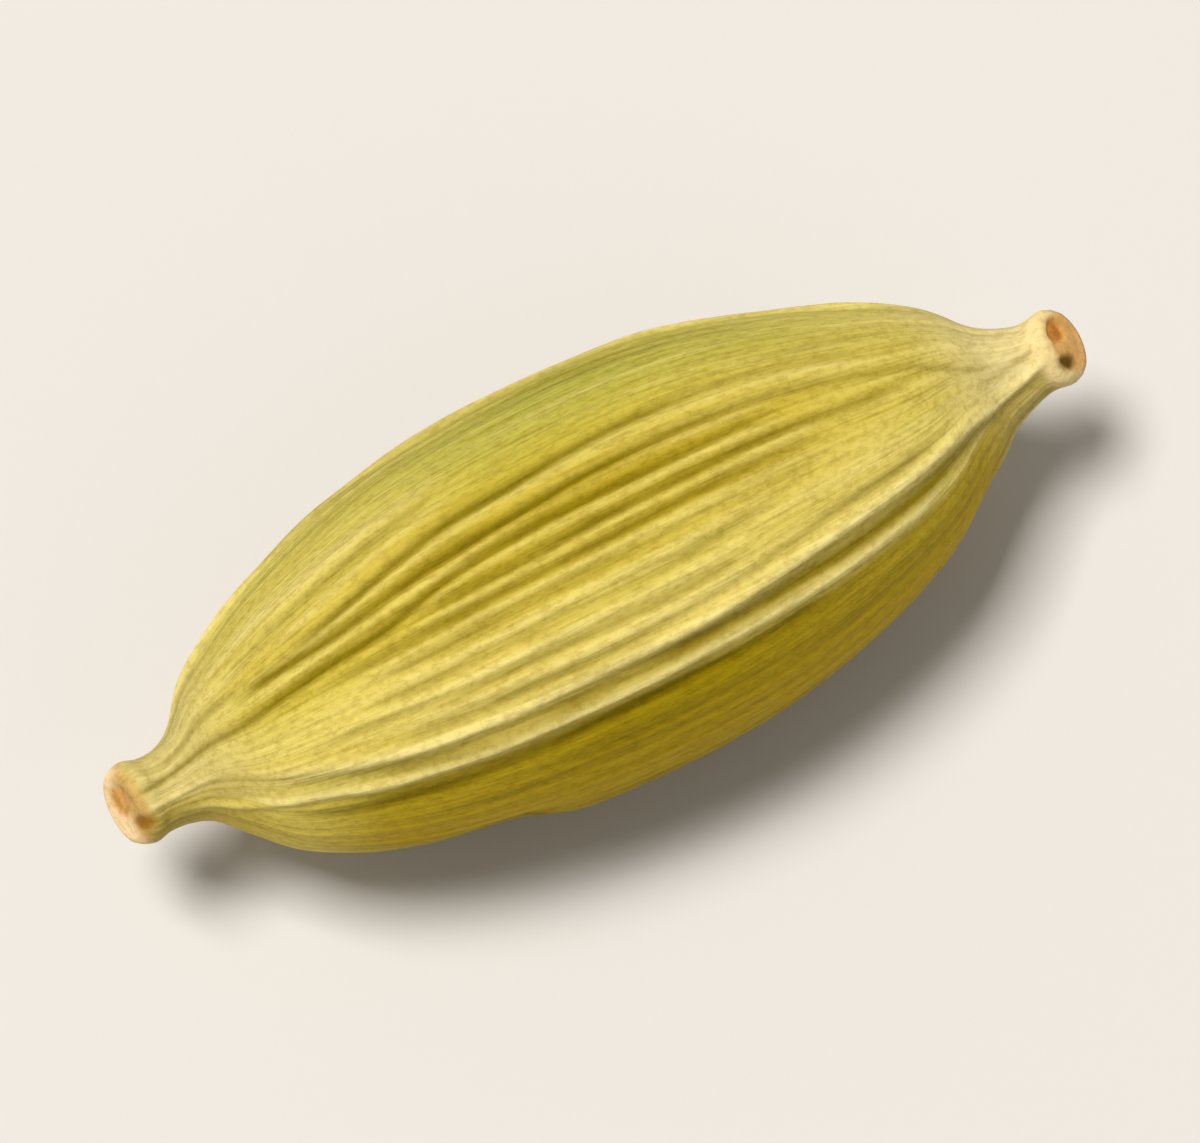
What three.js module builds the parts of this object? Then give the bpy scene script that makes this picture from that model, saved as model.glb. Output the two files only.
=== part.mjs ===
// A green cardamom pod, whole and dried: one closed capsule of three rounded valves.
// The valves meet in three seams, each a groove between two raised ribs, and carry finer ribs of their own.
// A short stub stands at each end, flared to a lip around a shallow cup, and both stubs turn up a little.
// Millimetres, +Z up. The pod lies along X on a small flat spot, and its near side faces -Y.

import * as THREE from 'three';

// Driving dimensions of the whole pod, in millimetres
const LEFT_END = 0.17;
const RIGHT_END = 19.7;
const CENTRE_HEIGHT = 3.67;

// Half-width of the capsule between the two stubs, as [distance from the left tip, half-width]
const CAPSULE_OUTLINE = [
	[ 0.8, 0.73 ],
	[ 1.2, 0.77 ],
	[ 1.6, 0.98 ],
	[ 2.1, 1.5 ],
	[ 2.9, 2.12 ],
	[ 4.2, 2.78 ],
	[ 6.0, 3.39 ],
	[ 8.0, 3.71 ],
	[ 10.4, 3.82 ],
	[ 12.4, 3.65 ],
	[ 14.4, 3.16 ],
	[ 16.2, 2.46 ],
	[ 17.6, 1.58 ],
	[ 18.2, 1.07 ],
	[ 18.7, 0.81 ],
	[ 19.1, 0.7 ],
];
const STATIONS_PER_STEP = 3;

// Half-section of each stub's cup and lip, as [share of the lip's half-width, depth below the end face]
const LEFT_LIP_HALF_WIDTH = 0.81;
const LEFT_STUB_SECTION = [
	[ 0, 0.07 ],
	[ 0.3, 0.07 ],
	[ 0.54, 0.05 ],
	[ 0.68, 0.01 ],
	[ 0.78, 0 ],
	[ 0.9, 0.07 ],
	[ 1, 0.3 ],
];
const RIGHT_LIP_HALF_WIDTH = 0.75;
const RIGHT_STUB_SECTION = [
	[ 0, 0.15 ],
	[ 0.28, 0.14 ],
	[ 0.5, 0.1 ],
	[ 0.64, 0.02 ],
	[ 0.76, 0 ],
	[ 0.9, 0.06 ],
	[ 1, 0.24 ],
];

// Angles around the pod, in degrees: 0 faces -Y, 90 faces up and 270 faces down
const COLUMNS = 96;
const COLUMN_STEP = 360 / COLUMNS;
const FIRST_COLUMN = 1.45;
const SEAM_ANGLES = [ 13, 47, 80 ].map( ( column ) => FIRST_COLUMN + column * COLUMN_STEP );
const UPTURN_ANGLE = 76.6;
const SHADED_EDGE_ANGLE = 346.6;

// How the section swells towards the seams, as shares of the half-width
const SEAM_SWELL = 0.055;
const SEAM_SWELL_SPREAD = 32;
const SEAM_SWELL_MEAN = 0.47;
const SECTION_SHIFT = 0.019;

// Ribs, in millimetres
const SEAM_RIB_HEIGHT = 0.17;
const SEAM_RIB_OFFSET = 0.31;
const SEAM_RIB_SPREAD = 0.15;
const FINE_RIB_HEIGHT = 0.05;
const FINE_RIB_PERIOD = 2 * COLUMN_STEP;
const FULL_RIB_HALF_WIDTH = 3.2;
// Where the fine ribs of each valve start and end, as shares of the way from its seam to the next one
const FINE_RIB_BANDS = [ [ 0.08, 0.54 ], [ 0.2, 0.62 ], [ 0.1, 0.42 ] ];
const FINE_RIB_FADE = 0.06;

// The dent in the near edge, longer towards the left
const DENT_DEPTH = 0.36;
const DENT_PLACE = 6.6;
const DENT_LEFT_REACH = 1.4;
const DENT_RIGHT_REACH = 0.65;
const DENT_WIDTH = 18;

// How each end turns up: the stub bends, and its face is cut askew as well
const BEND_REACH = 3;
const CUT_REACH = 1;
const LEFT_BEND = THREE.MathUtils.degToRad( 8 );
const LEFT_CUT = THREE.MathUtils.degToRad( 13 );
const RIGHT_BEND = THREE.MathUtils.degToRad( 18 );
const RIGHT_CUT = THREE.MathUtils.degToRad( 20 );

// Where the axis leans towards the far side, as [distance from the left tip, reach along the pod, how far]
const LEANS = [
	[ 0.17, 1, 0.06 ],
	[ 1.95, 0.6, 0.12 ],
	[ 17.5, 1, 0.15 ],
	[ 19.7, 1, 0.07 ],
];

// The capsule becomes a round neck over this stretch, measured from either end face
const NECK_START = 0.9;
const NECK_END = 2.8;

// Difference between two angles in degrees, from -180 to 180
function angleBetween( a, b ) {

	return THREE.MathUtils.euclideanModulo( a - b + 180, 360 ) - 180;

}

function bell( distance, spread ) {

	return Math.exp( - ( ( distance / spread ) ** 2 ) );

}

// Unit vector square to the pod's axis at an angle around it
function outward( angle ) {

	const turn = THREE.MathUtils.degToRad( angle );
	return new THREE.Vector3( 0, - Math.cos( turn ), Math.sin( turn ) );

}

// The stations of one stub, from the middle of its cup out to its lip
function stubStations( section, endFace, inward, lipHalfWidth ) {

	return section.map( ( [ share, depth ], index ) => ( {
		along: endFace + inward * depth,
		halfWidth: share * lipHalfWidth,
		outside: index === section.length - 1,
	} ) );

}

// The stations of the capsule and both necks, from left to right
function bodyStations() {

	const outline = new THREE.SplineCurve( CAPSULE_OUTLINE.map( ( point ) => new THREE.Vector2( ...point ) ) );
	return outline.getPoints( STATIONS_PER_STEP * ( CAPSULE_OUTLINE.length - 1 ) ).map( ( point ) => ( {
		along: point.x,
		halfWidth: point.y,
		outside: true,
	} ) );

}

// The rounded three-cornered section, as a factor on the half-width
function sectionFactor( angle, capsuleShare ) {

	const swell = SEAM_ANGLES.reduce(
		( sum, seam ) => sum + bell( angleBetween( angle, seam ), SEAM_SWELL_SPREAD ), - SEAM_SWELL_MEAN );
	return 1 + capsuleShare * SEAM_SWELL * swell;

}

// The two ribs along each seam, with the seam's groove between them
function seamRibs( angle, halfWidth, capsuleShare ) {

	return SEAM_ANGLES.reduce( ( height, seam ) => {

		const distance = Math.abs( THREE.MathUtils.degToRad( angleBetween( angle, seam ) ) * halfWidth );
		return height + capsuleShare * SEAM_RIB_HEIGHT * bell( distance - SEAM_RIB_OFFSET, SEAM_RIB_SPREAD );

	}, 0 );

}

// The finer ribs in the band of each valve, which flatten out as they draw together towards the stubs
function fineRibs( angle, halfWidth, capsuleShare ) {

	const fullHeight = capsuleShare * FINE_RIB_HEIGHT * Math.min( 1, halfWidth / FULL_RIB_HALF_WIDTH );

	return FINE_RIB_BANDS.reduce( ( height, [ start, end ], valve ) => {

		const seam = SEAM_ANGLES[ valve ];
		const nextSeam = SEAM_ANGLES[ ( valve + 1 ) % SEAM_ANGLES.length ];
		const fromSeam = THREE.MathUtils.euclideanModulo( angle - seam, 360 );
		const share = fromSeam / THREE.MathUtils.euclideanModulo( nextSeam - seam, 360 );
		const band = THREE.MathUtils.smoothstep( share, start, start + FINE_RIB_FADE )
			* ( 1 - THREE.MathUtils.smoothstep( share, end - FINE_RIB_FADE, end ) );
		return height + band * fullHeight * Math.cos( 2 * Math.PI * fromSeam / FINE_RIB_PERIOD );

	}, 0 );

}

function dent( angle, along ) {

	const reach = along < DENT_PLACE ? DENT_LEFT_REACH : DENT_RIGHT_REACH;
	return DENT_DEPTH * bell( along - DENT_PLACE, reach )
		* bell( angleBetween( angle, SHADED_EDGE_ANGLE ), DENT_WIDTH );

}

// How far and by what angle the pod turns up at a distance from one of its end faces
function upturn( fromEnd, bend, cut ) {

	const bentShare = Math.max( 0, 1 - fromEnd / BEND_REACH );
	return {
		lift: Math.tan( bend ) * BEND_REACH * bentShare ** 2 / 2,
		turn: bend * bentShare + cut * ( 1 - THREE.MathUtils.smoothstep( fromEnd, 0, CUT_REACH ) ),
	};

}

// How far the axis leans towards the far side
function lean( along ) {

	return LEANS.reduce( ( sum, [ place, reach, shift ] ) => sum + shift * bell( along - place, reach ), 0 );

}

// One point of the pod's surface
function surfacePoint( station, angle ) {

	const { along, halfWidth, outside } = station;
	const fromLeft = along - LEFT_END;
	const fromRight = RIGHT_END - along;
	const capsuleShare = THREE.MathUtils.smoothstep( Math.min( fromLeft, fromRight ), NECK_START, NECK_END );

	let radius = halfWidth;
	if ( outside ) {

		radius = halfWidth * sectionFactor( angle, capsuleShare )
			+ seamRibs( angle, halfWidth, capsuleShare )
			+ fineRibs( angle, halfWidth, capsuleShare )
			- dent( angle, along );

	}

	const left = upturn( fromLeft, LEFT_BEND, LEFT_CUT );
	const right = upturn( fromRight, RIGHT_BEND, RIGHT_CUT );
	const turn = left.turn - right.turn;
	const up = outward( UPTURN_ANGLE );
	const turnedUp = new THREE.Vector3( Math.sin( turn ), 0, 0 ).addScaledVector( up, Math.cos( turn ) );
	const across = outward( UPTURN_ANGLE + 90 );
	const aroundUp = THREE.MathUtils.degToRad( angle - UPTURN_ANGLE );

	const point = new THREE.Vector3( along, 0, CENTRE_HEIGHT );
	point.addScaledVector( outward( SHADED_EDGE_ANGLE ), SECTION_SHIFT * capsuleShare * halfWidth );
	point.addScaledVector( up, left.lift + right.lift );
	point.addScaledVector( across, lean( along ) );
	point.addScaledVector( turnedUp, radius * Math.cos( aroundUp ) );
	point.addScaledVector( across, radius * Math.sin( aroundUp ) );
	point.z = Math.max( 0, point.z );
	return point;

}

// The capsule with both stubs, spun around its axis and then shaped point by point
function podGeometry() {

	const stations = [
		...stubStations( RIGHT_STUB_SECTION, RIGHT_END, - 1, RIGHT_LIP_HALF_WIDTH ),
		...bodyStations().reverse(),
		...stubStations( LEFT_STUB_SECTION, LEFT_END, 1, LEFT_LIP_HALF_WIDTH ).reverse(),
	];
	const profile = stations.map( ( { along, halfWidth } ) => new THREE.Vector2( halfWidth, along ) );
	const geometry = new THREE.LatheGeometry( profile, COLUMNS );
	const position = geometry.getAttribute( 'position' );
	for ( let index = 0; index < position.count; index ++ ) {

		const station = stations[ index % stations.length ];
		const column = Math.floor( index / stations.length ) % COLUMNS;
		const point = surfacePoint( station, FIRST_COLUMN + column * COLUMN_STEP );
		position.setXYZ( index, ...point );

	}

	// The origin goes under the middle of the pod's box, at the height of the flat spot
	geometry.computeBoundingBox();
	const middle = geometry.boundingBox.getCenter( new THREE.Vector3() );
	geometry.translate( - middle.x, - middle.y, 0 );
	geometry.computeVertexNormals();
	return geometry;

}

const huskMaterial = new THREE.MeshStandardMaterial( { color: 0xc9ba5e, roughness: 0.6, metalness: 0 } );

const cardamomPod = new THREE.Mesh( podGeometry(), huskMaterial );
cardamomPod.name = 'cardamom_pod';

const pod = new THREE.Group();
pod.add( cardamomPod );

export default pod;
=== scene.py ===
"""A green cardamom pod, whole and dried, lying on its small flat spot on a pale floor.

The husk is one closed mesh, shaped row by row along the pod: three rounded valves that meet in double-ribbed
seams, finer creases and ridges between the seams, and a cupped stub at each end.
Sizes on the husk are in millimetres, and build_husk turns them into metres. Places along the pod are measured
from its left tip. Angles around the pod are in degrees: 0 faces -Y, 90 faces up and 270 faces down.
"""

import math
from collections import namedtuple

import bpy
import numpy as np
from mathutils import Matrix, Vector


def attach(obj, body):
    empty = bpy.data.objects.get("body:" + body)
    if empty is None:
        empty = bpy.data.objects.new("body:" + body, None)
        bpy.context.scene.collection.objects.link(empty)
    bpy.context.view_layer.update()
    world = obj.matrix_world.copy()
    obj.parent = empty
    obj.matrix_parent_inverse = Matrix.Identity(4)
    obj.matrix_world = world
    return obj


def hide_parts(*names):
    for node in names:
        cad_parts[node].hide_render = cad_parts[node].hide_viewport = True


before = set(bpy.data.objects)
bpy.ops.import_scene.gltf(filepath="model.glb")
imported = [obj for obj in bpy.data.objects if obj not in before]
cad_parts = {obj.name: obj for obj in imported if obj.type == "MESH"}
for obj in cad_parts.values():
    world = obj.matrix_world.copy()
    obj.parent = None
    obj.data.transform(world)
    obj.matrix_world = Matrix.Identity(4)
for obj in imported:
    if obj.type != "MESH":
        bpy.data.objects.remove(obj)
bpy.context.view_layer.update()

MM = 0.001

# The pod's outline, as in the frame
LEFT_END = 0.17
RIGHT_END = 19.7
CENTRE_HEIGHT = 3.67
CAPSULE_OUTLINE = [
    (0.8, 0.73),
    (1.2, 0.77),
    (1.6, 0.98),
    (2.1, 1.5),
    (2.9, 2.12),
    (4.2, 2.78),
    (6.0, 3.39),
    (8.0, 3.71),
    (10.4, 3.82),
    (12.4, 3.65),
    (14.4, 3.16),
    (16.2, 2.46),
    (17.6, 1.58),
    (18.2, 1.07),
    (18.7, 0.81),
    (19.1, 0.7),
]
WIDEST = max(half_width for place, half_width in CAPSULE_OUTLINE)

# A hollow in an end face. Up and across place its middle, from the middle of the end face towards the top
# and the far side of the pod. The spill is how far the hollow goes on outside the lip
Hollow = namedtuple("Hollow", "up across half_up half_across depth spill")

# A stub, with the half-section of its lip as (share of the lip's half-width, depth below the end face).
# It turns up: the stub bends, and its face is cut askew as well. Both are angles in degrees.
# The first seed is where the seeds of its own noises start
Stub = namedtuple("Stub", "first_seed lip_half_width lip cup pit bend cut")
LEFT_STUB = Stub(
    first_seed=5,
    lip_half_width=0.81,
    lip=[(0, 0), (0.3, 0), (0.6, 0), (0.78, 0), (0.9, 0.07), (1, 0.3)],
    cup=Hollow(up=0.02, across=0.14, half_up=0.4, half_across=0.34, depth=0.035, spill=0.08),
    pit=Hollow(up=0.46, across=-0.38, half_up=0.28, half_across=0.17, depth=0.04, spill=0.3),
    bend=8,
    cut=13,
)
RIGHT_STUB = Stub(
    first_seed=8,
    lip_half_width=0.75,
    lip=[(0, 0), (0.3, 0), (0.6, 0), (0.76, 0), (0.9, 0.06), (1, 0.24)],
    cup=Hollow(up=0.2, across=0.29, half_up=0.34, half_across=0.26, depth=0.07, spill=0.08),
    pit=Hollow(up=0.34, across=-0.34, half_up=0.42, half_across=0.17, depth=0.05, spill=0.11),
    bend=18,
    cut=20,
)
BEND_REACH = 3
CUT_REACH = 1

# From here on a rise goes smoothly from 0 at its first value to 1 at its second, and a fall from 1 to 0.
# How softly the hollows end: 0 is the middle of a hollow and 1 its edge
CUP_FALL = (0.7, 1.15)
PITH_FALL = (0.6, 1.2)
PIT_FALL = (0.45, 1.25)
# How softly they end outside the lip, on either side of their spill
CUP_SPILL_FALL = (-0.13, 0.12)
PIT_SPILL_FALL = (-0.08, 0.08)
# How far the unevenness of a lip spreads, and how it starts outside the middle of the face
LIP_UNEVEN_SPREAD = 0.3
FACE_UNEVEN_RISE = (0.1, 0.5)
# How far from the lip the husk's own relief starts
HUSK_RISE = (0, 0.3)

# Angles around the pod
SEAM_NEAR = 50.2
SEAM_FAR = 177.7
SEAM_UNDER = 301.45
SEAMS = (SEAM_NEAR, SEAM_FAR, SEAM_UNDER)
UPTURN_ANGLE = 76.6
FAR_EDGE_ANGLE = UPTURN_ANGLE + 90
NEAR_EDGE_ANGLE = UPTURN_ANGLE - 90

# How the section swells towards the seams, over an angle of SEAM_SWELL_SPREAD on each side, and how far it is
# shifted to the near edge. The others are shares of the half-width
SEAM_SWELL = 0.055
SEAM_SWELL_SPREAD = 32
SEAM_SWELL_MEAN = 0.47
SECTION_SHIFT = 0.019

# Where the pod's axis leans towards the far side, as in the frame: (place, reach along the pod, how far)
LEANS = ((0.17, 1.0, 0.06), (1.95, 0.6, 0.12), (17.5, 1.0, 0.15), (19.7, 1.0, 0.07))

# The capsule becomes a round neck over this stretch, measured from either end face
CAPSULE_RISE = (0.9, 2.8)

# How softly the flat spot ends
SPOT_ROUNDING = 0.03

# The dent in the near edge
DENT_DEPTH = 0.36
DENT_PLACE = 6.6
DENT_LEFT_REACH = 1.4
DENT_RIGHT_REACH = 0.65
DENT_WIDTH = 18

# The husk's grid of points. The closer rows of a neck go on to the shoulder, at this distance from its lip
COLUMNS = 540
CUP_ROWS = 22
NECK_ROWS = 24
CAPSULE_ROWS = 88
SHOULDER = 2.4
OUTLINE_STEPS = 200

# Smooth noise, with this many waves around and along the pod. It is blended from values up to the swing,
# which brings it to about the height
Waves = namedtuple("Waves", "seed around lengthwise height")
NOISE_SWING = 1.6
BROAD_WAVES = Waves(seed=1, around=11, lengthwise=8, height=0.035)
FIBRE_WAVES = Waves(seed=2, around=130, lengthwise=8, height=0.014)
PIMPLE_WAVES = Waves(seed=3, around=70, lengthwise=44, height=0.007)
LIP_WAVES = Waves(seed=4, around=7, lengthwise=1, height=0.03)
LIP_WAVES_SPREAD = 0.4
LEAST_FIBRE_SHARE = 0.1
FULL_PIMPLE_HALF_WIDTH = 1.5
# These are drawn anew for each stub and for each line
CUP_EDGE_WAVES = Waves(seed=0, around=7, lengthwise=1, height=0.1)
LIP_EDGE_WAVES = Waves(seed=1, around=7, lengthwise=4, height=0.02)
FACE_WAVES = Waves(seed=2, around=11, lengthwise=6, height=0.015)
LINE_HEIGHT_WAVES = Waves(seed=100, around=3, lengthwise=22, height=0.3)
LINE_PATH_WAVES = Waves(seed=200, around=3, lengthwise=16, height=0.03)

# A line along the husk, with its path as a few (place, angle, height) points. Creases have heights below 0
Line = namedtuple("Line", "spread path")
NEAR_SEAM_RIBS = [
    Line(0.15, (
        (1.9, 61, 0.05), (2.9, 60, 0.09), (4.1, 56.2, 0.12), (5.2, 53.8, 0.1), (6.3, 54.1, 0.08),
        (7.5, 54.5, 0.11), (10.6, 55.2, 0.13), (12.7, 57, 0.14), (15, 58.9, 0.13), (16.6, 60.2, 0.15),
        (17.4, 57.2, 0.15), (18.1, 53.4, 0.15), (18.7, 57.5, 0.15), (19, 62, 0.16), (19.2, 65.5, 0.13),
        (20.4, 69, 0))),
    Line(0.135, (
        (0.9, 32, 0.08), (1.9, 36, 0.12), (2.4, 42.5, 0.15), (3.1, 46.4, 0.15), (4.4, 44.2, 0.16),
        (5.6, 45.2, 0.16), (8, 46.4, 0.16), (12, 47.2, 0.13), (14.2, 46.6, 0.11), (15.5, 47, 0.09),
        (16.7, 49.6, 0.08))),
]
NEAR_SEAM_CREASES = [
    Line(0.2, (
        (2.4, 52, -0.04), (4.1, 49.6, -0.03), (5.2, 48.2, -0.07), (7.6, 49, -0.06), (9.6, 50, -0.1),
        (12.8, 51.2, -0.11), (14.2, 50.2, -0.1), (15.5, 50.4, -0.1), (16.6, 51, -0.09), (17.3, 49, -0.07),
        (18.1, 42, -0.02), (18.8, 42, -0.01), (20.2, 45, -0.01))),
    Line(0.17, (
        (2.4, 34, -0.05), (4.5, 36, -0.08), (7.6, 39.2, -0.1), (11.7, 41.4, -0.1), (13.8, 41, -0.05))),
]
# The creases of the near valve, in order from its far edge to its near seam
NEAR_VALVE_CREASES = [
    Line(0.16, (
        (2.4, 118.5, -0.03), (4.4, 121.8, -0.04), (5.6, 123, -0.06), (6.6, 124.3, -0.05),
        (8.2, 128, -0.02))),
    Line(0.16, (
        (3.3, 104.6, -0.05), (4.7, 107.2, -0.06), (6.6, 112.6, -0.1), (7.5, 114.6, -0.1), (8.8, 115.6, -0.1),
        (10.7, 117.2, -0.08), (12.9, 118.6, -0.05), (16.4, 119, -0.03))),
    Line(0.15, (
        (2.4, 104, -0.05), (3.5, 104, -0.13), (4.3, 102.2, -0.09), (5.5, 102.2, -0.11), (7.3, 104.7, -0.14),
        (8.6, 105.9, -0.11), (11.7, 107.9, -0.09), (13.9, 107.6, -0.06), (15.6, 105.2, -0.05),
        (16.6, 101.5, -0.05), (17.4, 93.5, -0.05), (18.6, 83, -0.03))),
    Line(0.13, (
        (-0.6, 84, -0.05), (0.3, 85, -0.06), (1.3, 92.4, -0.07), (2, 89.4, -0.09), (2.9, 91, -0.11),
        (4.4, 92.4, -0.09), (5.6, 93, -0.1), (6.6, 96, -0.09), (7.5, 98.4, -0.1), (8.8, 99.2, -0.12),
        (10.7, 99.2, -0.11), (12.8, 100.6, -0.07), (14.2, 102, -0.03))),
    Line(0.13, (
        (5.8, 92, -0.04), (7.6, 92, -0.08), (11.7, 93.3, -0.1), (13.6, 94.2, -0.09), (16.8, 94.4, -0.06))),
    Line(0.13, (
        (3.8, 86.6, -0.03), (6.6, 85.6, -0.08), (8.6, 86.2, -0.07), (10.7, 86.7, -0.08),
        (14.8, 87.3, -0.04))),
    Line(0.12, (
        (4.6, 79.6, -0.03), (7.1, 79.1, -0.06), (9, 80.4, -0.05), (10.9, 79.8, -0.03), (14.6, 80, -0.02))),
    Line(0.12, ((4.4, 71.6, -0.03), (8.6, 72, -0.04), (11.6, 73.2, -0.04), (13.6, 76, -0.02))),
    Line(0.12, (
        (3.2, 64.6, -0.03), (4.6, 66.2, -0.04), (6.6, 65.2, -0.05), (8.8, 64.2, -0.05),
        (12.6, 64.8, -0.03))),
    Line(0.11, (
        (4.8, 57.4, -0.03), (7.2, 58.2, -0.06), (9.6, 58.4, -0.05), (11.7, 60.2, -0.04), (13.8, 63, -0.06),
        (15.6, 64.2, -0.07), (17.2, 66.4, -0.04))),
]
OTHER_NEAR_VALVE_LINES = [
    Line(0.22, (
        (2.3, 135, 0.04), (3.4, 132, 0.06), (4.6, 129.5, 0.07), (6.6, 129.6, 0.07), (8.4, 132, 0.03))),
    Line(0.13, ((-0.6, 61, 0.11), (0.8, 61.4, 0.11), (1.6, 64, 0.08), (3, 72, 0.03))),
    Line(0.14, ((13.4, 124, -0.03), (15, 126, -0.04), (17, 126, -0.03))),
    Line(0.16, ((17.3, 72, -0.02), (18.4, 78, -0.05), (19.1, 87, -0.05), (19.9, 90, -0.02))),
]

# The low ridge midway between two creases
FINE_RIDGE_HEIGHT = 0.045
FINE_RIDGE_SPREAD = 0.12
FINE_RIDGE_POINTS = 7

# The ribs of the two seams that face away, as (seam, distance from it, first place, last place)
OTHER_SEAM_RIBS = (
    (SEAM_FAR, 0.32, 1.2, 18.6),
    (SEAM_FAR, -0.31, 1.2, 18.6),
    (SEAM_UNDER, 0.3, 1.2, 18.8),
    (SEAM_UNDER, -0.33, 1.2, 18.0),
)
SEAM_RIB_HEIGHT = 0.15
SEAM_RIB_SPREAD = 0.13
SEAM_RIB_POINTS = 9
# Added to the half-width where the angle of such a rib is worked out, to draw it in at the ends
SEAM_RIB_DRAW_IN = 0.5

# Finer creases placed by chance, as (first angle, last angle, greatest depth), and the ranges for chance
CHANCE_SEED = 11
CHANCE_BANDS = ((187, 266, 0.12), (272, 294, 0.07), (311, 341, 0.11), (346, 392, 0.03), (150, 171, 0.05))
CHANCE_STARTS = (2.6, 5.8)
CHANCE_ENDS = (12.5, 18)
CHANCE_BENDS = (-1.2, 1.2)
CHANCE_DEPTH_SHARES = (0.45, 1)
CHANCE_SPREADS = (0.1, 0.15)
CHANCE_STEPS = (5.4, 8)
CHANCE_POINTS = 4

# Creases and low ridges of the necks, as (first place, last place, first angle, last angle), in the same way
NECK_SEED = 17
NECK_STRETCHES = ((0.3, 3.4, 112, 396), (16.4, 19.6, 110, 410))
NECK_LINE_SPREAD = 0.16
NECK_LINE_HEIGHTS = (0.015, 0.045)
NECK_LINE_FANS = (-4, 4)
NECK_LINE_STEPS = (15, 27)

# A line fades in and out at its ends, and is lower and narrower where the pod is slim
LINE_FADE = 1.2
FULL_LINE_HALF_WIDTH = 2.4
LEAST_LINE_SHARE = 0.45
# A crease is partly relief, and for the rest a darker line: olive colour with painted shade
CREASE_RELIEF = 0.8
# The height from which a line has its full colour, and how wide that colour is beside the line's relief. That
# colour is pale straw with a painted highlight on a ridge, and olive with painted shade in a crease
FULL_TINT_HEIGHT = 0.1
TINT_SPREAD_SHARE = 0.8

# Bands of colour around the pod and stretches of colour along it: the middle, and how far each spreads
Band = namedtuple("Band", "middle spread")
OUTER_BAND = Band(13, 16)
PLAIN_BAND = Band(62, 14)
GROOVED_BAND = Band(98, 23)
GROOVED_STRETCH = Band(9, 6.5)
GREEN_BAND = Band(145, 28)
GREEN_STRETCH = Band(10.5, 5)
LEAST_GREEN_SHARE = 0.1
MIDDLE_STRETCH = Band(10, 5.5)

# Where other colours begin or end, by the angle from the near seam
# The shaded valve is painted shade over the near lower valve
SHADED_VALVE_RISE = (-135, -66)
SHADED_VALVE_FALL = (-9.5, -5)
# The neck shade is painted shade on the necks below their ridge
NECK_SHADE_RISE = (-75, -40)
NECK_SHADE_FALL = (-2, 14)
# The same by the place along the pod, or by the distance from an end face
PALE_SHOULDER_FALL = (2.6, 4.6)
NECK_FALL = (0.9, 3.2)
LEFT_PALE_FALL = (0, 0.26)
RIGHT_PALE_FALL = (0.3, 0.62)
# The same by the height above the pod's axis, and at the right stub also by the distance from the lip
LEFT_TAN_RISE = (-0.05, 0.45)
RIGHT_TAN_FALL = (-0.25, 0.05)
RIGHT_LIP_TAN_FALL = (-0.06, 0.14)

# How close each kind of grain is: along the pod, and in both directions across it
BROAD_GRAIN = (0.192, 0.56, 0.56)
STREAK_GRAIN = (0.16, 2.6, 2.6)
FIBRE_GRAIN = (0.5, 11.0, 11.0)
NECK_FIBRE_GRAIN = (0.6, 3.0, 3.0)
PITH_GRAIN = (5.0, 5.0, 5.0)
FINE_GRAIN = (4.0, 8.0, 8.0)

# In metres
BUMP_DEPTH = 0.00003
FLOOR_REACH = 1.5
LAMP_TARGET = (0, 0, 0.004)
CAMERA_TARGET = (0, 0, 0.0037)
FRAME_WIDTH = 0.0222

CAMERA_TURN = math.radians(-27.1)
CAMERA_STEEPNESS = math.radians(75)


def rising(value, low, high):
    """0 below low, 1 above high, and a smooth step between them."""
    share = np.clip((value - low) / (high - low), 0, 1)
    return share * share * (3 - 2 * share)


def falling(value, low, high):
    """1 below low, 0 above high, and a smooth step between them."""
    return 1 - rising(value, low, high)


def at_least(least, share):
    """The share, squeezed so that 0 becomes the least and 1 stays 1."""
    return least + (1 - least) * share


def bell(distance, spread):
    return np.exp(-((distance / spread) ** 2))


def angle_between(a, b):
    """Difference between two angles in degrees, from -180 to 180."""
    return (a - b + 180) % 360 - 180


def outward(angle):
    """Unit vector square to the pod's axis at an angle around it."""
    turn = np.radians(angle)
    return np.stack([np.zeros_like(turn), -np.cos(turn), np.sin(turn)], axis=-1)


def spline_weights(share):
    """Weights of the four neighbours in a smooth cubic blend."""
    return [
        (1 - share) ** 3 / 6,
        (3 * share**3 - 6 * share**2 + 4) / 6,
        (-3 * share**3 + 3 * share**2 + 3 * share + 1) / 6,
        share**3 / 6,
    ]


def soft_noise(waves, angle, share, number=0):
    """Smooth noise at an angle around the pod and at a share of the way along it or across an end face.
    The number tells apart noises that have the same waves."""
    chance = np.random.default_rng(waves.seed + number)
    values = chance.uniform(-NOISE_SWING, NOISE_SWING, (waves.lengthwise + 4, waves.around))
    column = (angle % 360) / 360 * waves.around
    row = np.clip(share, 0, 1) * waves.lengthwise
    column_weights = spline_weights(column % 1)
    row_weights = spline_weights(row % 1)
    total = 0
    for i in range(4):
        for j in range(4):
            value = values[np.floor(row).astype(int) + i, (np.floor(column).astype(int) + j) % waves.around]
            total = total + row_weights[i] * column_weights[j] * value
    return waves.height * total


def cubic(start, end, slope_start, slope_end, share):
    """A cubic from start to end with those slopes, each slope over the whole of the step."""
    return (
        (2 * start - 2 * end + slope_start + slope_end) * share**3
        + (3 * end - 3 * start - 2 * slope_start - slope_end) * share**2
        + slope_start * share
        + start
    )


def through_points(points, steps):
    """A smooth curve through the points, with that many steps between two of them."""
    points = np.array(points, float)
    ends = np.vstack([points[:1], points, points[-1:]])
    share = np.linspace(0, 1, steps, endpoint=False)[:, None]
    runs = [
        cubic(start, end, (end - before) / 2, (after - start) / 2, share)
        for before, start, end, after in zip(ends[:-3], ends[1:-2], ends[2:-1], ends[3:])
    ]
    return np.vstack(runs + [points[-1:]])


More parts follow.
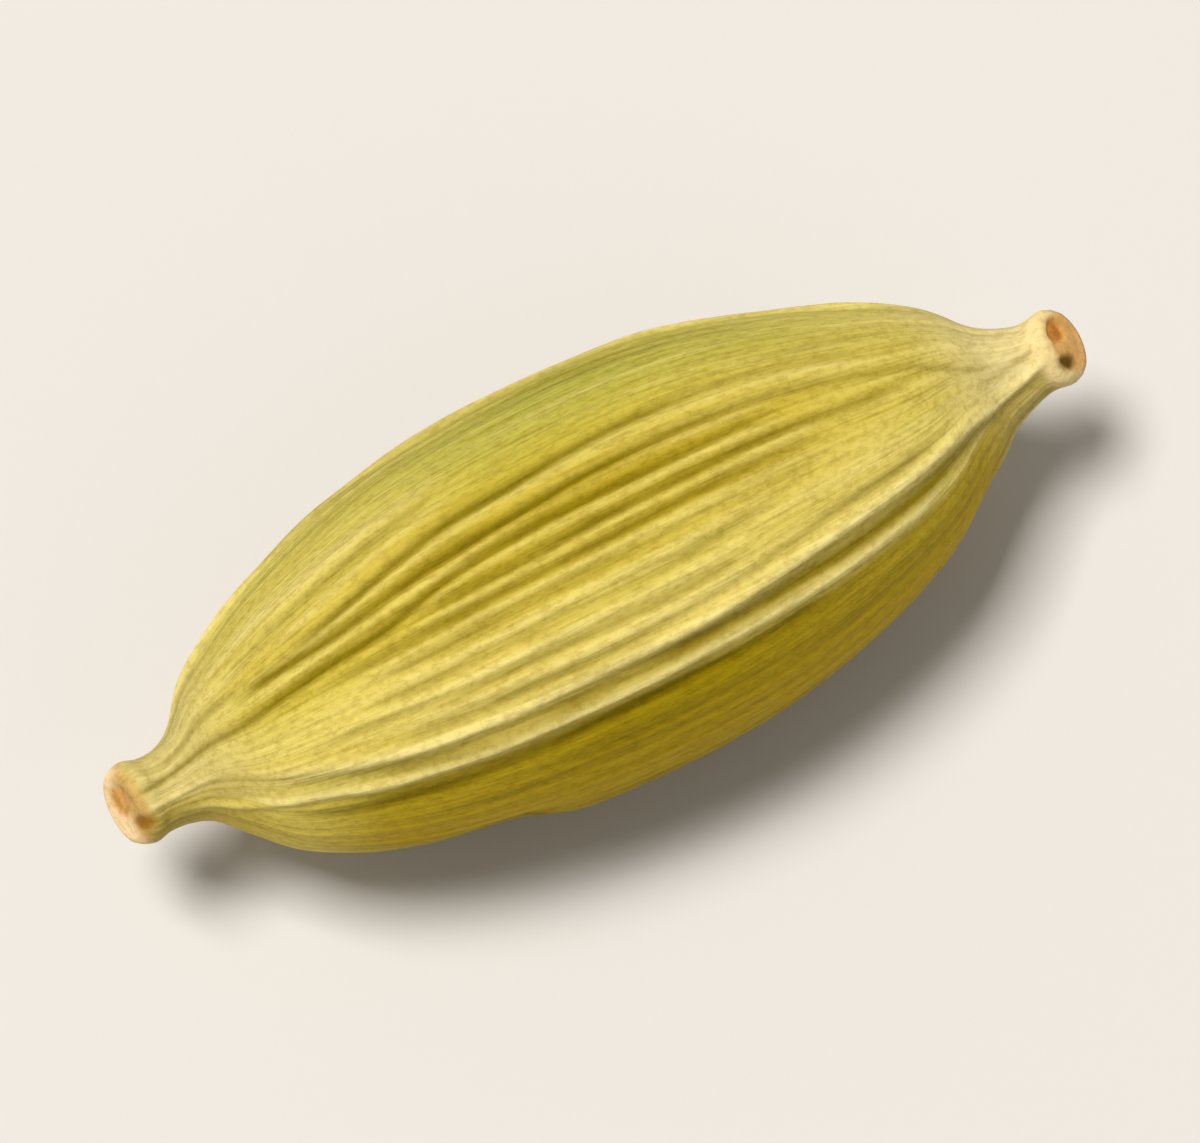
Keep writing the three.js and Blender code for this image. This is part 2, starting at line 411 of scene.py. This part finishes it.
def follow(path, along):
    """The angle and height of a line at each place along the pod, smooth through the points of its path."""
    places, angles, heights = np.array(path, float).T
    slopes = np.gradient(angles, places)
    step = np.clip(np.searchsorted(places, along) - 1, 0, len(places) - 2)
    span = places[step + 1] - places[step]
    share = np.clip((along - places[step]) / span, 0, 1)
    angle = cubic(angles[step], angles[step + 1], slopes[step] * span, slopes[step + 1] * span, share)
    return angle, np.interp(along, places, heights)


def husk_rows():
    """The rows from the middle of the left cup to the middle of the right one: the place of each along the
    pod, its half-width, its share of the way along the section, and its distance from the nearer lip. In the
    cups that distance is below 0."""
    left = [(LEFT_END + depth, share * LEFT_STUB.lip_half_width) for share, depth in LEFT_STUB.lip]
    right = [(RIGHT_END - depth, share * RIGHT_STUB.lip_half_width) for share, depth in RIGHT_STUB.lip]
    curve = through_points(left + CAPSULE_OUTLINE + right[::-1], OUTLINE_STEPS)
    length = np.concatenate([[0], np.cumsum(np.hypot(*np.diff(curve, axis=0).T))])
    left_lip = length[np.argmin(curve[:, 0])]
    right_lip = length[np.argmax(curve[:, 0])]
    stops = np.concatenate([
        np.linspace(0, left_lip, CUP_ROWS, endpoint=False),
        np.linspace(left_lip, left_lip + SHOULDER, NECK_ROWS, endpoint=False),
        np.linspace(left_lip + SHOULDER, right_lip - SHOULDER, CAPSULE_ROWS, endpoint=False),
        np.linspace(right_lip - SHOULDER, right_lip, NECK_ROWS, endpoint=False),
        np.linspace(right_lip, length[-1], CUP_ROWS + 1),
    ])
    along = np.interp(stops, length, curve[:, 0])
    half_width = np.interp(stops, length, curve[:, 1])
    lip_to_row = np.minimum(stops - left_lip, right_lip - stops)
    return along, half_width, stops / length[-1], lip_to_row


class Grid:
    """The husk's rows and columns, with what is used about them to shape and colour the husk."""

    def __init__(self):
        rows = [row[:, None] for row in husk_rows()]
        self.along, self.half_width, self.section_share, self.lip_to_row = rows
        self.angle = np.arange(COLUMNS)[None, :] * 360 / COLUMNS
        self.share = self.along / RIGHT_END
        self.from_left = self.along - LEFT_END
        self.from_right = RIGHT_END - self.along
        self.from_end = np.minimum(self.from_left, self.from_right)
        self.capsule = rising(self.from_end, *CAPSULE_RISE)
        self.outside = rising(self.lip_to_row, *HUSK_RISE)
        around_up = np.radians(self.angle - UPTURN_ANGLE)
        self.up_share = np.cos(around_up)
        self.across_share = np.sin(around_up)

    def by_half(self, left, right):
        """The one value in the left half of the pod, and the other in the right half."""
        return np.where(self.along < RIGHT_END / 2, left, right)


def half_width_at(place):
    outline = np.array(CAPSULE_OUTLINE)
    return np.interp(place, outline[:, 0], outline[:, 1])


def level_line(spread, places, angles, height):
    """A line with the same height all along."""
    return Line(spread, tuple((place, angle, height) for place, angle in zip(places, angles)))


def ridges_between(creases):
    """A low ridge midway between each crease and the next one."""
    ridges = []
    for first, second in zip(creases[:-1], creases[1:]):
        start = max(first.path[0][0], second.path[0][0])
        end = min(first.path[-1][0], second.path[-1][0])
        places = np.linspace(start, end, FINE_RIDGE_POINTS)
        angles = (follow(first.path, places)[0] + follow(second.path, places)[0]) / 2
        ridges.append(level_line(FINE_RIDGE_SPREAD, places, angles, FINE_RIDGE_HEIGHT))
    return ridges


def seam_rib(seam, offset, start, end):
    """A rib that keeps its distance from a seam, drawn in towards the seam at the ends."""
    places = np.linspace(start, end, SEAM_RIB_POINTS)
    angles = seam + np.degrees(offset / (half_width_at(places) + SEAM_RIB_DRAW_IN))
    return level_line(SEAM_RIB_SPREAD, places, angles, SEAM_RIB_HEIGHT)


def chance_lines():
    """Creases of the valves that face away, in bands, spaced and bent by chance."""
    chance = np.random.default_rng(CHANCE_SEED)
    lines = []
    for first, last, deepest in CHANCE_BANDS:
        angle = first
        while angle < last:
            start = chance.uniform(*CHANCE_STARTS)
            end = chance.uniform(*CHANCE_ENDS)
            places = np.linspace(start, end, CHANCE_POINTS)
            angles = angle + chance.uniform(*CHANCE_BENDS, CHANCE_POINTS)
            heights = -deepest * chance.uniform(*CHANCE_DEPTH_SHARES, CHANCE_POINTS)
            lines.append(Line(chance.uniform(*CHANCE_SPREADS), tuple(zip(places, angles, heights))))
            angle += chance.uniform(*CHANCE_STEPS)
    return lines


def neck_lines():
    """Creases and low ridges by turns, running up both necks and spaced by chance."""
    chance = np.random.default_rng(NECK_SEED)
    lines = []
    for start, end, first, last in NECK_STRETCHES:
        angle = first
        while angle < last:
            height = chance.uniform(*NECK_LINE_HEIGHTS) * (1 if len(lines) % 2 else -1)
            fan = chance.uniform(*NECK_LINE_FANS)
            lines.append(level_line(NECK_LINE_SPREAD, (start, end), (angle, angle + fan), height))
            angle += chance.uniform(*NECK_LINE_STEPS)
    return lines


def all_lines():
    near_lines = NEAR_SEAM_RIBS + NEAR_SEAM_CREASES + NEAR_VALVE_CREASES + OTHER_NEAR_VALVE_LINES
    other_seam_ribs = [seam_rib(*rib) for rib in OTHER_SEAM_RIBS]
    return near_lines + ridges_between(NEAR_VALVE_CREASES) + other_seam_ribs + chance_lines() + neck_lines()


def relief(grid):
    """Height of the husk's lines above its plain section, with masks of ridges and creases for colours. The
    ridges' colour includes a painted highlight, and the creases' colour includes painted shade.
    """
    line_share = at_least(LEAST_LINE_SHARE, np.minimum(1, grid.half_width / FULL_LINE_HALF_WIDTH))
    height = np.zeros(np.broadcast(grid.angle, grid.along).shape)
    crest = np.zeros_like(height)
    hollow = np.zeros_like(height)
    for number, line in enumerate(all_lines()):
        start, end = line.path[0][0], line.path[-1][0]
        lasting = rising(grid.along, start, start + LINE_FADE) * falling(grid.along, end - LINE_FADE, end)
        uneven = 1 + soft_noise(LINE_HEIGHT_WAVES, 0, grid.share, number)
        wander = soft_noise(LINE_PATH_WAVES, 0, grid.share, number)
        path_angle, path_height = follow(line.path, grid.along)
        distance = np.radians(angle_between(grid.angle, path_angle)) * grid.half_width + wander
        spread = line.spread * line_share
        line_height = path_height * uneven * lasting
        relief_share = np.where(line_height < 0, CREASE_RELIEF, 1) * line_share
        height += line_height * relief_share * bell(distance, spread)
        tint = np.clip(line_height / FULL_TINT_HEIGHT, -1, 1) * bell(distance, TINT_SPREAD_SHARE * spread)
        crest = np.maximum(crest, tint)
        hollow = np.maximum(hollow, -tint)
    return height, crest, hollow


def dent(grid):
    """How deep the dent in the near edge is."""
    from_dent = grid.along - DENT_PLACE
    reach = np.where(from_dent < 0, DENT_LEFT_REACH, DENT_RIGHT_REACH)
    return DENT_DEPTH * bell(from_dent, reach) * bell(angle_between(grid.angle, NEAR_EDGE_ANGLE), DENT_WIDTH)


def husk_radius(grid, line_height):
    """Distance of the husk from the pod's axis, with lines of that height on it."""
    at_seams = sum(bell(angle_between(grid.angle, seam), SEAM_SWELL_SPREAD) for seam in SEAMS)
    swell = grid.capsule * SEAM_SWELL * (at_seams - SEAM_SWELL_MEAN)
    lip_wobble = bell(grid.lip_to_row, LIP_WAVES_SPREAD) * soft_noise(LIP_WAVES, grid.angle, grid.share)
    fibre_share = at_least(LEAST_FIBRE_SHARE, grid.capsule)
    pimple_share = np.minimum(1, grid.half_width / FULL_PIMPLE_HALF_WIDTH)
    height = line_height + grid.capsule * soft_noise(BROAD_WAVES, grid.angle, grid.share)
    height += fibre_share * soft_noise(FIBRE_WAVES, grid.angle, grid.share)
    height += pimple_share * soft_noise(PIMPLE_WAVES, grid.angle, grid.share)
    height -= dent(grid)
    return grid.half_width * (1 + swell * grid.outside) * (1 + lip_wobble) + height * grid.outside


def stub_face(grid, stub):
    """How deep an end face lies below its plain section, with masks of its pith and of the pit in it."""
    up = grid.half_width * grid.up_share
    across = grid.half_width * grid.across_share
    share = grid.half_width / stub.lip_half_width

    def from_hollow(hollow):
        """0 in the middle of the hollow and 1 at its edge."""
        return np.hypot((up - hollow.up) / hollow.half_up, (across - hollow.across) / hollow.half_across)

    def waver(waves):
        return soft_noise(waves, grid.angle, share, stub.first_seed)

    face = falling(grid.lip_to_row - stub.cup.spill, *CUP_SPILL_FALL)
    from_cup = from_hollow(stub.cup) + waver(CUP_EDGE_WAVES)
    pith = falling(from_cup, *PITH_FALL) * face
    pit = falling(from_hollow(stub.pit), *PIT_FALL)
    pit *= falling(grid.lip_to_row - stub.pit.spill, *PIT_SPILL_FALL)
    uneven = waver(LIP_EDGE_WAVES) * bell(grid.lip_to_row, LIP_UNEVEN_SPREAD) + waver(FACE_WAVES) * face
    depth = uneven * rising(share, *FACE_UNEVEN_RISE)
    depth += stub.cup.depth * falling(from_cup, *CUP_FALL) * face
    depth += stub.pit.depth * pit
    return depth, pith, pit


def upturn(from_end, stub):
    """How far and by what angle the pod turns up at a distance from one of its end faces."""
    bend = math.radians(stub.bend)
    bent_share = np.maximum(0, 1 - from_end / BEND_REACH)
    lift = math.tan(bend) * BEND_REACH * bent_share**2 / 2
    turn = bend * bent_share + math.radians(stub.cut) * falling(from_end, 0, CUT_REACH)
    return lift, turn


def husk_points(grid, radius, inward):
    """The husk's points in millimetres, as rows by columns. Inward is how far each is moved along +X."""
    left_lift, left_turn = upturn(grid.from_left, LEFT_STUB)
    right_lift, right_turn = upturn(grid.from_right, RIGHT_STUB)
    turn = (left_turn - right_turn)[..., None]
    up = outward(UPTURN_ANGLE)
    across = outward(FAR_EDGE_ANGLE)
    turned_up = up * np.cos(turn) + np.array([1.0, 0, 0]) * np.sin(turn)
    shift = SECTION_SHIFT * grid.capsule * grid.half_width
    lean = sum(how_far * bell(grid.along - place, reach) for place, reach, how_far in LEANS)

    points = np.zeros(radius.shape + (3,))
    points[..., 0] = grid.along + inward
    points[..., 2] = CENTRE_HEIGHT
    points += outward(NEAR_EDGE_ANGLE) * shift[..., None]
    points += up * (left_lift + right_lift)[..., None]
    points += across * lean[..., None]
    points += turned_up * (radius * grid.up_share)[..., None]
    points += across * (radius * grid.across_share)[..., None]
    points[..., 2] = (points[..., 2] + np.sqrt(points[..., 2] ** 2 + SPOT_ROUNDING**2)) / 2
    return points


def husk_masks(grid, crest, hollow, pith, pit):
    """Where the husk has each of its colours, from 0 to 1. Some of them are painted light: highlight on the
    crests, and shade in the creases, on the near lower valve and under the necks.
    """
    def band(angles):
        return bell(angle_between(grid.angle, angles.middle), angles.spread)

    def stretch(places):
        return bell(grid.along - places.middle, places.spread)

    from_near_seam = angle_between(grid.angle, SEAM_NEAR)
    shaded_valve = rising(from_near_seam, *SHADED_VALVE_RISE) * falling(from_near_seam, *SHADED_VALVE_FALL)
    neck_shade = rising(from_near_seam, *NECK_SHADE_RISE) * falling(from_near_seam, *NECK_SHADE_FALL)
    neck = falling(grid.from_end, *NECK_FALL)
    up_from_axis = grid.half_width * grid.up_share
    left_tan = rising(up_from_axis, *LEFT_TAN_RISE)
    right_tan = falling(up_from_axis, *RIGHT_TAN_FALL)
    right_lip_tan = falling(grid.lip_to_row, *RIGHT_LIP_TAN_FALL)
    left_pale = falling(grid.from_left, *LEFT_PALE_FALL)
    right_pale = falling(grid.from_right, *RIGHT_PALE_FALL)
    return {
        "crest": crest * grid.outside,
        "hollow": hollow * grid.outside,
        "pith": pith,
        "pit": pit,
        "neck": neck,
        "neck_shade": neck * neck_shade,
        "pale_end": grid.by_half(left_pale, right_pale),
        "tan_side": grid.by_half(left_tan, np.maximum(right_tan, right_lip_tan)),
        "middle": stretch(MIDDLE_STRETCH),
        "shaded_valve": shaded_valve * grid.capsule,
        "pale_shoulder": shaded_valve * grid.capsule * falling(grid.along, *PALE_SHOULDER_FALL),
        "outer_strip": band(OUTER_BAND) * grid.capsule,
        "grooved_band": band(GROOVED_BAND) * stretch(GROOVED_STRETCH) * grid.capsule,
        "plain_band": band(PLAIN_BAND) * grid.capsule,
        "green_band": band(GREEN_BAND) * at_least(LEAST_GREEN_SHARE, stretch(GREEN_STRETCH)) * grid.capsule,
        "right_end": grid.by_half(0, 1),
    }


def husk_places(grid):
    """The coordinates that the grain of the husk and of the cups is laid out in, along the pod and around."""
    turn = np.radians(grid.angle)
    around = np.stack([0 * turn, np.cos(turn), np.sin(turn)], axis=-1)
    lengthwise = grid.along[..., None] * np.array([1, 0, 0])
    return {
        "husk_place": lengthwise + WIDEST * around,
        "cup_place": lengthwise + grid.half_width[..., None] * around,
    }


def husk_surface():
    """The husk's points in millimetres, as rows by columns, with what its colours and its map use."""
    grid = Grid()
    line_height, crest, hollow = relief(grid)
    left_depth, left_pith, left_pit = stub_face(grid, LEFT_STUB)
    right_depth, right_pith, right_pit = stub_face(grid, RIGHT_STUB)
    points = husk_points(grid, husk_radius(grid, line_height), grid.by_half(left_depth, -right_depth))
    pith = grid.by_half(left_pith, right_pith)
    pit = grid.by_half(left_pit, right_pit)
    masks = husk_masks(grid, crest, hollow, pith, pit)
    masks = {name: np.broadcast_to(values, crest.shape) for name, values in masks.items()}
    return points, masks, husk_places(grid), grid.section_share[:, 0]


def vertex_values(values):
    """One value for each vertex: the left pole, the rows between the poles, and the right pole."""
    between = values[1:-1].reshape((-1,) + values.shape[2:])
    return np.concatenate([values[0, :1], between, values[-1, :1]])


def husk_faces(section_share):
    """The faces of the grid, drawn together at both poles, with the place of each corner on the map."""
    faces = []
    corner_uv = []
    rows = len(section_share)
    right_pole = 1 + (rows - 2) * COLUMNS
    for row in range(rows - 1):
        here = 1 + (row - 1) * COLUMNS
        there = here + COLUMNS
        start, end = section_share[row], section_share[row + 1]
        for column in range(COLUMNS):
            next_column = (column + 1) % COLUMNS
            low, high = column / COLUMNS, (column + 1) / COLUMNS
            middle = (low + high) / 2
            if row == 0:
                faces.append((0, there + next_column, there + column))
                corner_uv += [(start, middle), (end, high), (end, low)]
            elif row == rows - 2:
                faces.append((here + column, here + next_column, right_pole))
                corner_uv += [(start, low), (start, high), (end, middle)]
            else:
                faces.append((here + column, here + next_column, there + next_column, there + column))
                corner_uv += [(start, low), (start, high), (end, high), (end, low)]
    return faces, corner_uv


def build_husk():
    """The closed mesh of the whole pod, in metres and in the frame's place."""
    points, masks, places, section_share = husk_surface()
    low, high = points.min((0, 1)), points.max((0, 1))
    points -= [(low[0] + high[0]) / 2, (low[1] + high[1]) / 2, low[2]]
    vertices = vertex_values(points) * MM
    faces, corner_uv = husk_faces(section_share)

    mesh = bpy.data.meshes.new("husk")
    mesh.from_pydata(vertices.tolist(), [], faces)
    bake_map = mesh.uv_layers.new(name="OFBake")
    bake_map.uv.foreach_set("vector", np.array(corner_uv, np.float32).ravel())
    for name, values in masks.items():
        attribute = mesh.attributes.new(name, "FLOAT", "POINT")
        attribute.data.foreach_set("value", vertex_values(values).astype(np.float32))
    for name, values in places.items():
        attribute = mesh.attributes.new(name, "FLOAT_VECTOR", "POINT")
        attribute.data.foreach_set("vector", vertex_values(values).astype(np.float32).ravel())
    mesh.shade_smooth()
    mesh.update()
    husk = bpy.data.objects.new("husk", mesh)
    bpy.context.scene.collection.objects.link(husk)
    return husk


class Shading:
    """Short names for the nodes that a material is put together from."""

    def __init__(self, name):
        self.material = bpy.data.materials.new(name)
        self.material.use_nodes = True
        self.tree = self.material.node_tree
        self.shader = self.tree.nodes["Principled BSDF"]

    def link(self, value, socket):
        if isinstance(value, bpy.types.NodeSocket):
            self.tree.links.new(value, socket)
        else:
            socket.default_value = value

    def math(self, operation, *values):
        node = self.tree.nodes.new("ShaderNodeMath")
        node.operation = operation
        for value, socket in zip(values, node.inputs):
            self.link(value, socket)
        return node.outputs[0]

    def mask(self, name):
        node = self.tree.nodes.new("ShaderNodeAttribute")
        node.attribute_name = name
        return node.outputs["Fac"]

    def noise(self, place, grain, detail, roughness):
        """Noise in the husk's own coordinates, stretched so that its grain runs along the pod."""
        source = self.tree.nodes.new("ShaderNodeAttribute")
        source.attribute_name = place
        stretched = self.tree.nodes.new("ShaderNodeVectorMath")
        stretched.operation = "MULTIPLY"
        self.tree.links.new(source.outputs["Vector"], stretched.inputs[0])
        stretched.inputs[1].default_value = grain
        node = self.tree.nodes.new("ShaderNodeTexNoise")
        self.tree.links.new(stretched.outputs[0], node.inputs["Vector"])
        node.inputs["Scale"].default_value = 1.0
        node.inputs["Detail"].default_value = detail
        node.inputs["Roughness"].default_value = roughness
        return node.outputs["Fac"]

    def spread(self, value, low, high, to_low=0.0, to_high=1.0):
        """The value from low to high, taken to the range from to_low to to_high."""
        node = self.tree.nodes.new("ShaderNodeMapRange")
        node.interpolation_type = "SMOOTHSTEP"
        for socket, number in zip(node.inputs[1:5], (low, high, to_low, to_high)):
            socket.default_value = number
        self.tree.links.new(value, node.inputs[0])
        return node.outputs[0]

    def mix(self, factor, first, second, blend="MIX"):
        node = self.tree.nodes.new("ShaderNodeMix")
        node.data_type = "RGBA"
        node.blend_type = blend
        self.link(factor, node.inputs[0])
        self.link(first, node.inputs[6])
        self.link(second, node.inputs[7])
        return node.outputs[2]

    def tint(self, colour, name, share, other):
        """The colour, with that share of the other one where the named mask is 1."""
        return self.mix(self.math("MULTIPLY", self.mask(name), share), colour, other)

    def by_end(self, left, right):
        """The one colour at the left end, and the other at the right end."""
        return self.mix(self.mask("right_end"), left, right)


def rgb(red, green, blue):
    """A colour given as it shows on a screen, from 0 to 255, as the linear colour that a shader takes."""
    shown = np.array([red, green, blue]) / 255
    linear = np.where(shown <= 0.04045, shown / 12.92, ((shown + 0.055) / 1.055) ** 2.4)
    return (*linear.tolist(), 1)


def valve_colour(s, streaks):
    """Yellow-green valves with straw-coloured ribs and olive creases, and the pale necks. The ribs carry a
    painted highlight. The creases, the near lower valve and the necks below their ridge carry painted shade.
    """
    colour = s.mix(s.mask("middle"), rgb(219, 200, 110), rgb(210, 189, 87))
    patches = s.noise("husk_place", BROAD_GRAIN, detail=3, roughness=0.5)
    colour = s.mix(s.spread(patches, 0.4, 0.62, 0, 0.6), colour, rgb(199, 185, 80))
    colour = s.tint(colour, "green_band", 0.9, rgb(167, 163, 64))
    colour = s.tint(colour, "grooved_band", 0.9, rgb(192, 167, 44))
    colour = s.tint(colour, "plain_band", 0.7, rgb(225, 205, 110))
    colour = s.tint(colour, "neck", 0.85, s.by_end(rgb(194, 178, 114), rgb(221, 203, 148)))
    # Painted shade on the necks below their ridge
    colour = s.tint(colour, "neck_shade", 0.75, rgb(172, 150, 62))
    # Painted highlight: the crests are pale straw, brightened further as if lit
    colour = s.tint(colour, "crest", 0.75, rgb(235, 218, 148))
    colour = s.mix(s.spread(streaks, 0.45, 0.75, 0, 0.4), colour, rgb(229, 212, 128))
    colour = s.mix(s.spread(streaks, 0.28, 0.5, 0.4, 0), colour, rgb(170, 146, 26))
    colour = s.mix(s.mask("grooved_band"), colour, rgb(247, 246, 210), "MULTIPLY")
    # Painted shade: the near lower valve is coloured darker as if it lay in shade, most deeply in the middle
    # of the pod. Along the outer strip that painted shade is lighter and more golden, and towards the left
    # shoulder it gives way to pale husk
    shaded = s.mix(s.mask("middle"), rgb(184, 161, 46), rgb(157, 134, 6))
    colour = s.tint(colour, "shaded_valve", 0.97, shaded)
    colour = s.tint(colour, "outer_strip", 0.9, rgb(200, 168, 20))
    colour = s.tint(colour, "pale_shoulder", 0.7, rgb(232, 213, 108))
    # Painted shade: the creases are olive, darkened further as if shade lay in them
    return s.tint(colour, "hollow", 0.96, rgb(124, 105, 0))


def fibre_colour(s, colour, fibres, off_the_end):
    """The colour, darkened along the fibres, which show less on the necks and not at all on the ends."""
    less_on_necks = s.math("SUBTRACT", 1.0, s.math("MULTIPLY", s.mask("neck"), 0.6))
    share = s.math("MULTIPLY", off_the_end, less_on_necks)
    shade = s.math("MULTIPLY", s.spread(fibres, 0.3, 0.6, 0.65, 0), share)
    return s.mix(shade, colour, rgb(214, 212, 188), "MULTIPLY")


def stub_colour(s, colour):
    """The colour, with cream and tan lips, brown pith in the cups, and a pit in each end face: brown at the
    left end, and at the right end dark brown with painted shade standing in for the depth of a hole that is
    built shallow.
    """
    pale = s.by_end(rgb(252, 220, 170), rgb(232, 208, 147))
    tan = s.by_end(rgb(200, 160, 92), rgb(226, 174, 104))
    colour = s.tint(colour, "pale_end", 0.95, s.mix(s.mask("tan_side"), pale, tan))
    pith_shade = s.spread(s.noise("cup_place", PITH_GRAIN, detail=4, roughness=0.65), 0.38, 0.62)
    left_pith = s.mix(pith_shade, rgb(204, 150, 78), rgb(218, 166, 94))
    right_pith = s.mix(pith_shade, rgb(196, 128, 50), rgb(210, 146, 66))
    colour = s.mix(s.mask("pith"), colour, s.by_end(left_pith, right_pith))
    # The pits: brown at the left end, and at the right end painted shade for a deep hole
    return s.mix(s.mask("pit"), colour, s.by_end(rgb(152, 108, 34), rgb(104, 72, 14)))


def husk_material():
    """Dry, fibrous husk, with hardly any gloss."""
    s = Shading("dry_husk")
    off_the_end = s.math("SUBTRACT", 1.0, s.mask("pale_end"))
    streaks = s.noise("husk_place", STREAK_GRAIN, detail=4, roughness=0.6)
    capsule_fibres = s.noise("husk_place", FIBRE_GRAIN, detail=3, roughness=0.6)
    neck_fibres = s.noise("husk_place", NECK_FIBRE_GRAIN, detail=3, roughness=0.6)
    fibres = s.mix(s.mask("neck"), capsule_fibres, neck_fibres)
    grains = s.noise("cup_place", FINE_GRAIN, detail=4, roughness=0.7)

    colour = valve_colour(s, streaks)
    colour = fibre_colour(s, colour, fibres, off_the_end)
    colour = stub_colour(s, colour)
    colour = s.mix(s.spread(grains, 0.3, 0.6, 0.8, 0), colour, rgb(222, 216, 196), "MULTIPLY")
    s.link(colour, s.shader.inputs["Base Color"])
    s.link(s.spread(streaks, 0.3, 0.7, 0.46, 0.62), s.shader.inputs["Roughness"])
    s.shader.inputs["Specular IOR Level"].default_value = 0.03

    bump = s.tree.nodes.new("ShaderNodeBump")
    bump.inputs["Distance"].default_value = BUMP_DEPTH
    bump.inputs["Strength"].default_value = 1.0
    fibre_bump = s.math("MULTIPLY", s.math("MULTIPLY", fibres, 0.6), off_the_end)
    s.link(s.math("ADD", fibre_bump, s.math("MULTIPLY", grains, 0.4)), bump.inputs["Height"])
    s.link(bump.outputs[0], s.shader.inputs["Normal"])
    return s.material


def floor_material():
    s = Shading("pale_floor")
    s.shader.inputs["Base Color"].default_value = rgb(208, 204, 199)
    s.shader.inputs["Roughness"].default_value = 0.9
    s.shader.inputs["Specular IOR Level"].default_value = 0.1
    return s.material


def build_floor():
    mesh = bpy.data.meshes.new("floor")
    corners = ((-1, -1), (1, -1), (1, 1), (-1, 1))
    mesh.from_pydata([(x * FLOOR_REACH, y * FLOOR_REACH, 0) for x, y in corners], [], [(0, 1, 2, 3)])
    floor = bpy.data.objects.new("floor", mesh)
    bpy.context.scene.collection.objects.link(floor)
    mesh.materials.append(floor_material())


def aim(thing, target):
    """Turns a camera or a lamp so that it looks at the target."""
    way = Vector(target) - thing.location
    thing.rotation_euler = way.to_track_quat("-Z", "Y").to_euler()


def add_lamp(name, place, size, watts, colour):
    data = bpy.data.lights.new(name, "AREA")
    data.size = size
    data.energy = watts
    data.color = colour
    lamp = bpy.data.objects.new(name, data)
    lamp.location = place
    bpy.context.scene.collection.objects.link(lamp)
    aim(lamp, LAMP_TARGET)


def build_lights():
    """Soft studio light: a large lamp almost overhead, a faint one in front, and a pale room."""
    add_lamp("key_light", (-0.24, 0.28, 1.2), size=0.4, watts=18.4, colour=(1.0, 0.985, 0.96))
    add_lamp("fill_light", (0.4, -1.0, 0.8), size=1.0, watts=1.28, colour=(1.0, 0.99, 0.97))

    world = bpy.data.worlds.new("pale_room")
    bpy.context.scene.world = world
    world.use_nodes = True
    nodes, links = world.node_tree.nodes, world.node_tree.links
    seen = nodes["Background"]
    seen.inputs["Color"].default_value = rgb(246, 241, 237)
    lighting = nodes.new("ShaderNodeBackground")
    lighting.inputs["Color"].default_value = rgb(246, 244, 242)
    lighting.inputs["Strength"].default_value = 0.28
    path = nodes.new("ShaderNodeLightPath")
    either = nodes.new("ShaderNodeMixShader")
    links.new(path.outputs["Is Camera Ray"], either.inputs[0])
    links.new(lighting.outputs[0], either.inputs[1])
    links.new(seen.outputs[0], either.inputs[2])
    links.new(either.outputs[0], nodes["World Output"].inputs["Surface"])


def build_camera():
    """Looks steeply down from the near side, turned so that the pod rises to the right as in the photo."""
    back = Vector((
        math.sin(CAMERA_TURN) * math.cos(CAMERA_STEEPNESS),
        -math.cos(CAMERA_TURN) * math.cos(CAMERA_STEEPNESS),
        math.sin(CAMERA_STEEPNESS),
    ))
    data = bpy.data.cameras.new("camera")
    data.sensor_width = 36
    data.lens = 200
    data.clip_start = 0.005
    camera = bpy.data.objects.new("camera", data)
    camera.location = Vector(CAMERA_TARGET) + back * (FRAME_WIDTH * data.lens / data.sensor_width)
    bpy.context.scene.collection.objects.link(camera)
    aim(camera, CAMERA_TARGET)
    bpy.context.scene.camera = camera


husk = build_husk()
husk.data.materials.append(husk_material())
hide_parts("cardamom_pod")
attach(husk, "root")
build_floor()
build_lights()
build_camera()
bpy.context.scene.view_settings.view_transform = "Standard"
